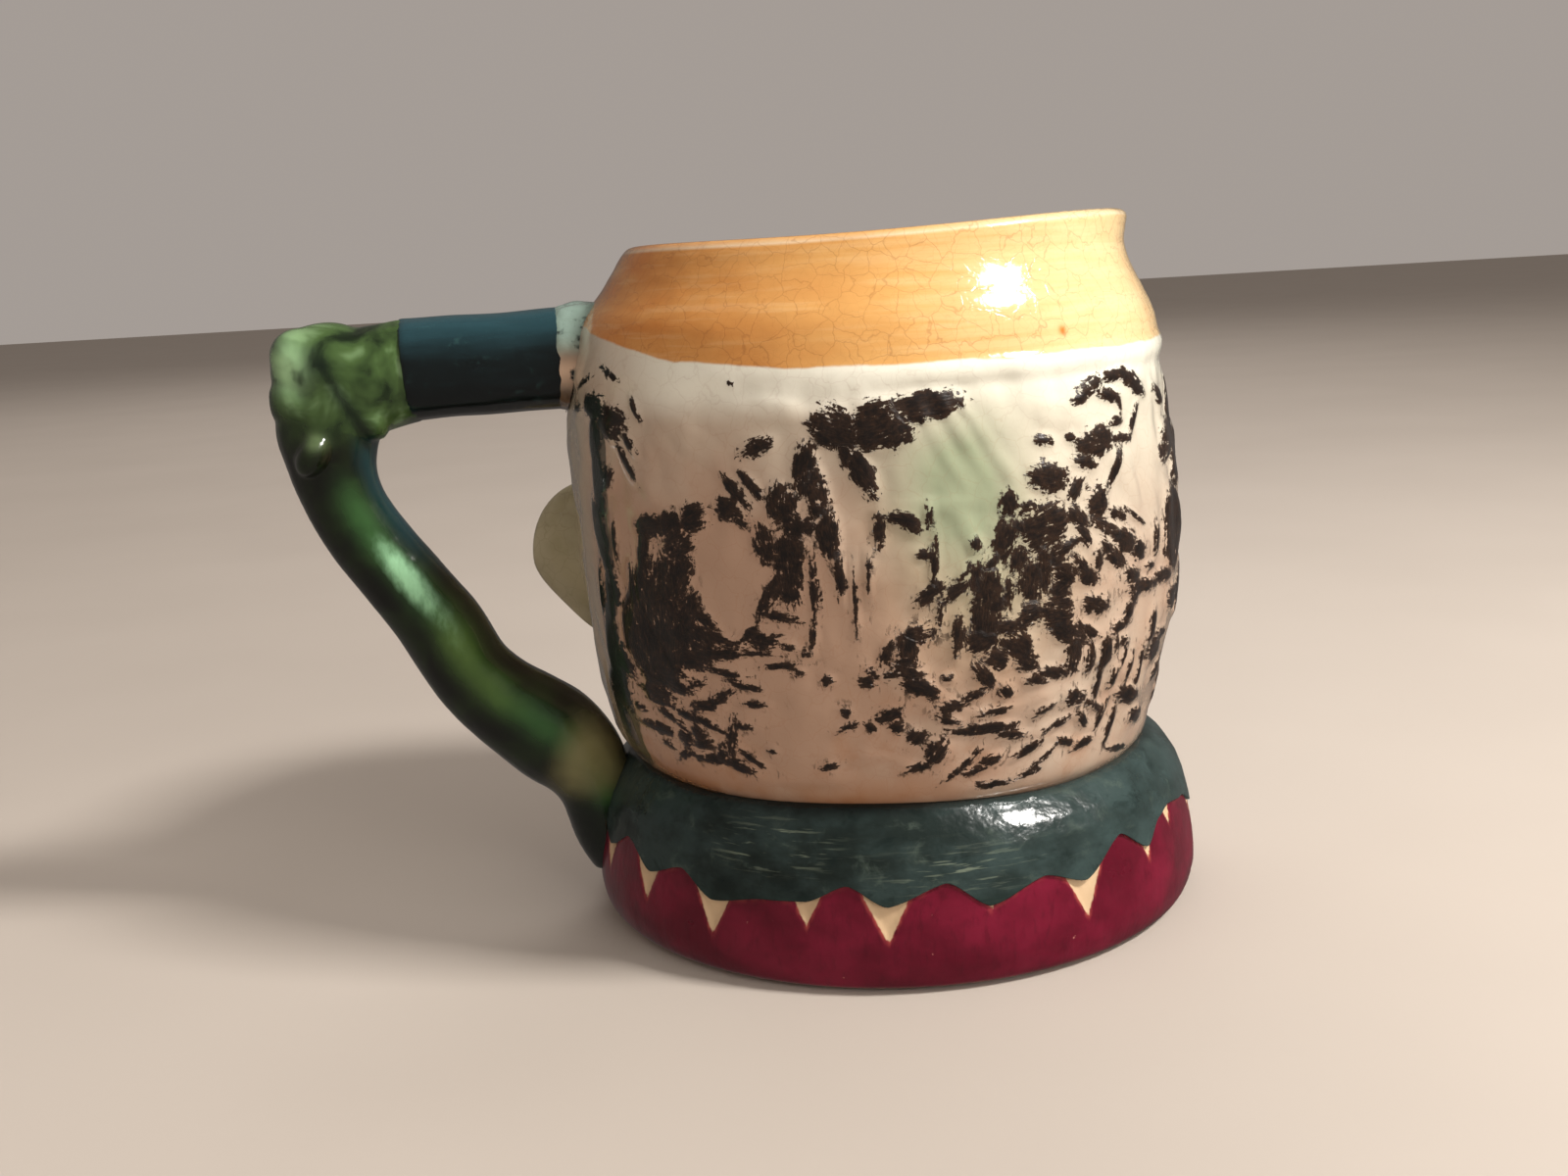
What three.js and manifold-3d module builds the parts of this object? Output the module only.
// A small pottery mug in the shape of a head: a hollow head with a hat band for its rim, a rolled
// collar over a skirt of petals, and a handle like a knotted branch.
// Millimetres, +Z up. The origin is the centre of the flat underside, the face looks along -Y and
// the handle stands out along +X.
import * as THREE from 'three';
import { mergeVertices } from 'three/addons/utils/BufferGeometryUtils.js';
import Module from 'manifold-3d';

const wasm = await Module();
wasm.setup();

// Overall sizes
const mugHeight = 85; // table to the lip, at the middle of the lip
const baseRadius = 40; // skirt, where it meets the table
const headRadius = 39.3; // head at its widest
const handleReach = 35.4; // head at its widest to the outermost side of the handle

// Cup, from the table up
const wall = 4.5;
const lipWall = 3.4;
const footThickness = 5;
const baseWall = 6; // skirt wall round the foot plate
const skirtHeight = 6.5; // top of the plain part of the skirt
const neckHeight = 20; // groove between collar and head
const neckRadius = 34;
const bandHeight = 14; // hat band, from its lower edge to the lip
const bandFootRadius = 37.2;
const lipRadius = 31.2;
const lipRise = 0.03; // how far the lip climbs for each millimetre away from the handle
const edgeRound = 0.8; // softened edge at the table

// Petals of the skirt
const petalCount = 21;
const petalTop = 13.2; // height of a petal's tip above the table
const petalRelief = 0.9; // how far petals stand out of the collar

// Handle
const armRadius = 6.2;
const legRadius = 5;
const knotSwell = 0.7; // how much thicker the knot is than the arm
const armDrop = 13.7; // lip down to the middle of the handle's upper arm
const jointWidth = 3; // ring of glaze where the arm meets the head
const jointLift = 0.9; // how far the ring stands out of the arm
const armLength = 18;
const knotLength = 19;
const footLength = 24; // tapered end that runs down the collar
const handleFlatness = 0.9; // width across the handle over its depth in its own plane

// Ears
const earTurn = 18; // degrees behind the side of the head, towards the face
const earHeight = 21;
const earReach = 8.2; // how far an ear stands out of the head
const earThickness = 8;

// Clearance between pieces that only rest on each other
const fit = 0.3;
const buried = 4; // how deep a piece starts inside the wall before it is cut to fit

const turnSteps = petalCount * 3; // facets round the cup, whole numbers to a petal

// Heights and radii that follow from these
const armZ = mugHeight - armDrop;
const bandFootZ = mugHeight - bandHeight;
const headHeight = bandFootZ - neckHeight;
const widestZ = neckHeight + headHeight * 0.55;
const cavityRadius = baseRadius - baseWall;
const knotRadius = armRadius + knotSwell;

// Face, on the usual thirds of a head: band to brow, brow to nose, nose to chin
const third = headHeight / 3.2;
const chinZ = neckHeight + 0.2 * third;
const noseZ = chinZ + third;
const browZ = noseZ + third;
const mouthZ = chinZ + third * 0.66;
const eyeZ = browZ - third * 0.24;
const earZ = (browZ + noseZ) / 2 - third * 0.2;
const eyeWidth = headRadius / 3.3;

// Outer radius of each part of the cup at a height
const quarterRound = (z) => Math.sqrt(Math.max(0, 1 - z * z));
const collarRadiusAt = (z) =>
  neckRadius + (baseRadius - petalRelief - neckRadius) * quarterRound((z - skirtHeight) / (neckHeight - skirtHeight));

function headRadiusAt(z) {
  const [edgeZ, edgeRadius] = z < widestZ ? [neckHeight, neckRadius] : [bandFootZ, bandFootRadius];
  return headRadius - (headRadius - edgeRadius) * ((z - widestZ) / (edgeZ - widestZ)) ** 2;
}

const bandRadiusAt = (z) =>
  THREE.MathUtils.lerp(bandFootRadius, lipRadius, THREE.MathUtils.smoothstep(z, bandFootZ, mugHeight));

const heights = (from, to, steps) =>
  Array.from({ length: steps + 1 }, (_, i) => THREE.MathUtils.lerp(from, to, i / steps));
const outline = (radiusAt, levels, grow = 0) => levels.map((z) => new THREE.Vector2(radiusAt(z) + grow, z));
const point = (r, z) => new THREE.Vector2(r, z);

// A turned solid, from a profile in the half plane of radius and height
function turned(profile) {
  const geometry = new THREE.LatheGeometry(profile, turnSteps);
  return geometry.rotateX(Math.PI / 2);
}

const ring = (profile) => turned([...profile, profile[0]]);

// Manifold and three.js forms of the same solid
function toSolid(geometry) {
  const bare = geometry.clone();
  bare.deleteAttribute('normal');
  bare.deleteAttribute('uv');
  const merged = mergeVertices(bare, 1e-4);
  return new wasm.Manifold(
    new wasm.Mesh({
      numProp: 3,
      vertProperties: new Float32Array(merged.attributes.position.array),
      triVerts: new Uint32Array(merged.index.array),
    }),
  );
}

function toGeometry(solid) {
  const mesh = solid.getMesh();
  const geometry = new THREE.BufferGeometry();
  geometry.setAttribute('position', new THREE.BufferAttribute(mesh.vertProperties, 3));
  geometry.setIndex(new THREE.BufferAttribute(mesh.triVerts, 1));
  geometry.computeVertexNormals();
  return geometry;
}

// Cup
const skirtLevels = heights(edgeRound, skirtHeight, 2);
const collarLevels = heights(skirtHeight, neckHeight, 8);
const headLevels = heights(neckHeight, bandFootZ, 10);
const bandLevels = heights(bandFootZ, mugHeight, 7);

function footPlate() {
  const radius = cavityRadius - fit;
  return turned([point(0, 0), point(radius, 0), point(radius, footThickness), point(0, footThickness)]);
}

const petalRadius = () => baseRadius;

function skirtRing() {
  return ring([
    point(cavityRadius, 0),
    point(baseRadius - edgeRound, 0),
    ...outline(petalRadius, skirtLevels),
    point(cavityRadius, skirtHeight),
  ]);
}

// Arch of one petal: straight sides that round over to the tip, as wide as its share of the skirt
function petalOutline() {
  const half = (Math.PI * baseRadius) / petalCount - fit;
  const shape = new THREE.Shape();
  shape.moveTo(-half, skirtHeight - petalRelief);
  shape.lineTo(half, skirtHeight - petalRelief);
  shape.quadraticCurveTo(half * 0.85, petalTop, 0, petalTop);
  shape.quadraticCurveTo(-half * 0.85, petalTop, -half, skirtHeight - petalRelief);
  return shape;
}

function petalSkirt() {
  const shellLevels = heights(skirtHeight, petalTop, 3);
  const outer = outline(collarRadiusAt, shellLevels, petalRelief);
  const inner = outline(collarRadiusAt, [...shellLevels].reverse(), fit);
  const shell = toSolid(ring([...outer, ...inner]));
  const blank = new THREE.ExtrudeGeometry(petalOutline(), {
    depth: wall * 2,
    bevelEnabled: false,
    curveSegments: 4,
  });
  blank.rotateX(Math.PI / 2).translate(0, baseRadius + wall, 0);
  let skirt = toSolid(skirtRing());
  for (let i = 0; i < petalCount; i++) {
    const petal = toSolid(blank.clone().rotateZ((2 * Math.PI * i) / petalCount));
    skirt = skirt.add(petal.intersect(shell));
  }
  return toGeometry(skirt);
}

function collarRoll() {
  return ring([
    ...outline(collarRadiusAt, collarLevels),
    point(neckRadius - wall, neckHeight),
    point(cavityRadius, skirtHeight),
  ]);
}

function headWall() {
  const inner = outline(headRadiusAt, [...headLevels].reverse(), -wall);
  return ring([...outline(headRadiusAt, headLevels), ...inner]);
}

function hatBand() {
  const innerLip = point(lipRadius - lipWall, mugHeight);
  const geometry = ring([...outline(bandRadiusAt, bandLevels), innerLip, point(bandFootRadius - wall, bandFootZ)]);
  const position = geometry.attributes.position;
  for (let i = 0; i < position.count; i++) {
    const share = (position.getZ(i) - bandFootZ) / bandHeight;
    position.setZ(i, position.getZ(i) - share * lipRise * position.getX(i));
  }
  return geometry;
}

// The whole outside of the cup, grown by the clearance: what is fixed to the cup is cut by it
const cupEnvelope = toSolid(
  turned([
    point(0, -wall),
    point(baseRadius + fit, -wall),
    point(baseRadius + fit, skirtHeight),
    ...outline(collarRadiusAt, heights(skirtHeight, petalTop, 3).slice(1), petalRelief + fit),
    ...outline(collarRadiusAt, collarLevels.filter((z) => z > petalTop), fit),
    ...outline(headRadiusAt, headLevels.slice(1), fit),
    ...outline(bandRadiusAt, bandLevels.slice(1), fit),
    point(0, mugHeight),
  ]),
);

const cutToCup = (geometry) => toGeometry(toSolid(geometry).subtract(cupEnvelope));

// Handle: one centreline in the XZ plane, split into the pieces that the glaze sets apart
const armStart = headRadiusAt(Math.min(armZ, bandFootZ)) - buried;
const reachX = headRadius + handleReach - legRadius;

// A point of the handle: its share of the way in from the outermost line to the skirt, and its share of
// the drop from the upper arm to the end of the foot
function handlePoint(inwards, drop) {
  const x = THREE.MathUtils.lerp(reachX, baseRadius, inwards);
  return new THREE.Vector3(x, 0, THREE.MathUtils.lerp(armZ, skirtHeight / 2, drop));
}

const handleLine = new THREE.CatmullRomCurve3(
  [
    new THREE.Vector3(armStart, 0, armZ),
    new THREE.Vector3(armStart + armLength * 0.75, 0, armZ),
    handlePoint(0.33, 0),
    handlePoint(0.115, 0.03),
    handlePoint(0.067, 0.085),
    handlePoint(0.047, 0.17),
    handlePoint(0.088, 0.29),
    handlePoint(0.246, 0.385),
    handlePoint(0.414, 0.47),
    handlePoint(0.505, 0.56),
    handlePoint(0.653, 0.635),
    handlePoint(0.855, 0.707),
    handlePoint(0.97, 0.804),
    handlePoint(1.007, 0.905),
    handlePoint(1.01, 1),
  ],
  false,
  'centripetal',
);
const handleLength = handleLine.getLength();

// A round bar that follows the centreline between two distances along it
function bentBar(from, to, radiusAt, steps) {
  const geometry = new THREE.CylinderGeometry(1, 1, 1, 12, steps);
  const position = geometry.attributes.position;
  const side = new THREE.Vector3(0, 1, 0);
  for (let i = 0; i < position.count; i++) {
    const share = position.getY(i) + 0.5;
    const at = THREE.MathUtils.lerp(from, to, share) / handleLength;
    const along = handleLine.getTangentAt(at);
    const radius = radiusAt(share);
    const place = handleLine.getPointAt(at);
    place.addScaledVector(along.clone().cross(side), radius * position.getX(i));
    place.addScaledVector(side, radius * handleFlatness * position.getZ(i));
    position.setXYZ(i, place.x, place.y, place.z);
  }
  return geometry;
}

const jointEnd = buried + jointWidth;
const armEnd = jointEnd + armLength;
const knotEnd = armEnd + knotLength;
const legEnd = handleLength - footLength;
const swelling = (share) => Math.sin(Math.PI * share);

const handleJoint = () => cutToCup(bentBar(0, jointEnd, () => armRadius + jointLift, 2));
const handleArm = () => cutToCup(bentBar(jointEnd + fit, armEnd, () => armRadius, 3));
const handleKnot = () =>
  bentBar(armEnd + fit, knotEnd, (share) => armRadius + (knotRadius - armRadius) * swelling(share), 7);
const handleLeg = () =>
  bentBar(knotEnd + fit, legEnd, (share) => legRadius * (1 + 0.06 * Math.cos(4 * Math.PI * share) + 0.14 * share), 14);
const handleFoot = () =>
  cutToCup(bentBar(legEnd + fit, handleLength, (share) => legRadius * (1.2 - 0.75 * share), 9));

// A stub left where a twig was broken off: a rounded peg, cut flush with the knot. It points out of
// the bend, turned round the branch by an angle.
function twigStub(distance, turn, radius, height) {
  const along = handleLine.getTangentAt(distance / handleLength);
  const outwards = along.clone().cross(new THREE.Vector3(0, 1, 0));
  outwards.applyAxisAngle(along, THREE.MathUtils.degToRad(turn));
  const geometry = new THREE.SphereGeometry(1, 12, 8);
  geometry.scale(radius, radius, height);
  geometry.applyQuaternion(new THREE.Quaternion().setFromUnitVectors(new THREE.Vector3(0, 0, 1), outwards));
  const centre = handleLine.getPointAt(distance / handleLength).addScaledVector(outwards, knotRadius - height / 2);
  geometry.translate(centre.x, centre.y, centre.z);
  const grownKnot = bentBar(armEnd - buried, knotEnd + buried, () => knotRadius + fit, 20);
  return toGeometry(toSolid(geometry).subtract(toSolid(grownKnot)));
}

// Places on the outside of the head
function onHead(degrees, z, out = 0) {
  const angle = THREE.MathUtils.degToRad(degrees);
  const radius = headRadiusAt(z) + out;
  return new THREE.Vector3(radius * Math.cos(angle), radius * Math.sin(angle), z);
}

const front = 270;
const acrossFace = (millimetres) => front + THREE.MathUtils.radToDeg(millimetres / headRadius);

// A rounded lump on the head: its half sizes across, outwards and up
function lump(degrees, z, across, outwards, up) {
  const geometry = new THREE.SphereGeometry(1, 16, 10);
  geometry.rotateX(Math.PI / 2).scale(outwards, across, up);
  geometry.rotateZ(THREE.MathUtils.degToRad(degrees));
  const centre = onHead(degrees, z);
  return geometry.translate(centre.x, centre.y, centre.z);
}

// A rounded ridge along places on the head
function ridge(places, radius) {
  const path = new THREE.CatmullRomCurve3(places.map(([across, z]) => onHead(acrossFace(across), z)));
  const section = new THREE.Shape().absarc(0, 0, radius, 0, 2 * Math.PI);
  return new THREE.ExtrudeGeometry(section, { steps: 8, curveSegments: 8, extrudePath: path });
}

const ear = (degrees) => cutToCup(lump(degrees, earZ, earThickness / 2, earReach, earHeight / 2));
const eye = (side) => cutToCup(lump(acrossFace(side * eyeWidth), eyeZ, eyeWidth * 0.44, 2.2, third * 0.16));

function brow(side) {
  const places = [
    [0.45, 0.02],
    [1, 0.13],
    [1.6, -0.06],
  ];
  return cutToCup(ridge(places.map(([a, b]) => [side * a * eyeWidth, browZ + b * third]), 1.6));
}

function nose() {
  const bridge = toSolid(lump(front, (browZ + noseZ) / 2 + third * 0.1, eyeWidth * 0.2, 3.6, third * 0.52));
  const tip = toSolid(lump(front, noseZ + third * 0.2, eyeWidth * 0.3, 5.6, third * 0.24));
  const wings = [-1, 1].map((side) =>
    toSolid(lump(acrossFace(side * eyeWidth * 0.3), noseZ + third * 0.13, eyeWidth * 0.19, 3, third * 0.15)),
  );
  return toGeometry(bridge.add(tip).add(wings[0]).add(wings[1]).subtract(cupEnvelope));
}

function lip(rise, radius) {
  const half = eyeWidth * 0.8;
  return cutToCup(
    ridge(
      [
        [-half, mouthZ + rise * 0.3],
        [0, mouthZ + rise],
        [half, mouthZ + rise * 0.3],
      ],
      radius,
    ),
  );
}

const lipHalfHeight = 1.5;
const upperLip = () => toGeometry(toSolid(lip(lipHalfHeight, lipHalfHeight)).subtract(toSolid(slab(mouthZ, -1))));
const lowerLip = () => toGeometry(toSolid(lip(-lipHalfHeight, lipHalfHeight)).subtract(toSolid(slab(mouthZ, 1))));

// A block in front of the face that ends half a clearance past a height: side 1 is above it, -1 below
function slab(z, side) {
  const block = new THREE.BoxGeometry(headRadius * 2, headRadius * 2, headRadius);
  return block.translate(0, -headRadius, z + side * (headRadius / 2 - fit / 2));
}

const chin = () => cutToCup(lump(front, chinZ + third * 0.2, eyeWidth * 0.62, 2.6, third * 0.2));

// Glazes and bare clay
const finish = (colour, roughness = 0.2) =>
  new THREE.MeshStandardMaterial({ color: colour, roughness, metalness: 0 });
const bareClay = finish(0xd8c2a0, 0.8);
const burgundy = finish(0x7a1c34);
const teal = finish(0x2f5558);
const cream = finish(0xe9e3d2);
const orange = finish(0xdd9a44);
const paleGlaze = finish(0xcfc9ae);
const darkTeal = finish(0x1f3d42);
const leafGreen = finish(0x5f8f4a);
const branchGreen = finish(0x2f5a3c);
const celadon = finish(0xb9b795);
const darkGlaze = finish(0x2a241f);
const rose = finish(0xb0665c);

const pieces = [
  ['foot_plate', footPlate(), bareClay],
  ['petal_skirt', petalSkirt(), burgundy],
  ['collar_roll', collarRoll(), teal],
  ['head_wall', headWall(), cream],
  ['hat_band', hatBand(), orange],
  ['handle_joint', handleJoint(), paleGlaze],
  ['handle_arm', handleArm(), darkTeal],
  ['handle_knot', handleKnot(), leafGreen],
  ['twig_stub_upper', twigStub(armEnd + 8.5, 0, 4.4, 2.8), leafGreen],
  ['twig_stub_lower', twigStub(knotEnd - 4, -62, 3, 2.6), leafGreen],
  ['handle_leg', handleLeg(), branchGreen],
  ['handle_foot', handleFoot(), branchGreen],
  ['ear_left', ear(-earTurn), celadon],
  ['ear_right', ear(180 + earTurn), celadon],
  ['brow_left', brow(1), darkGlaze],
  ['brow_right', brow(-1), darkGlaze],
  ['eye_left', eye(1), cream],
  ['eye_right', eye(-1), cream],
  ['nose', nose(), celadon],
  ['lip_upper', upperLip(), rose],
  ['lip_lower', lowerLip(), rose],
  ['chin', chin(), celadon],
];

const mug = new THREE.Group();
for (const [name, geometry, material] of pieces) {
  const mesh = new THREE.Mesh(geometry, material);
  mesh.name = name;
  mug.add(mesh);
}

export default mug;
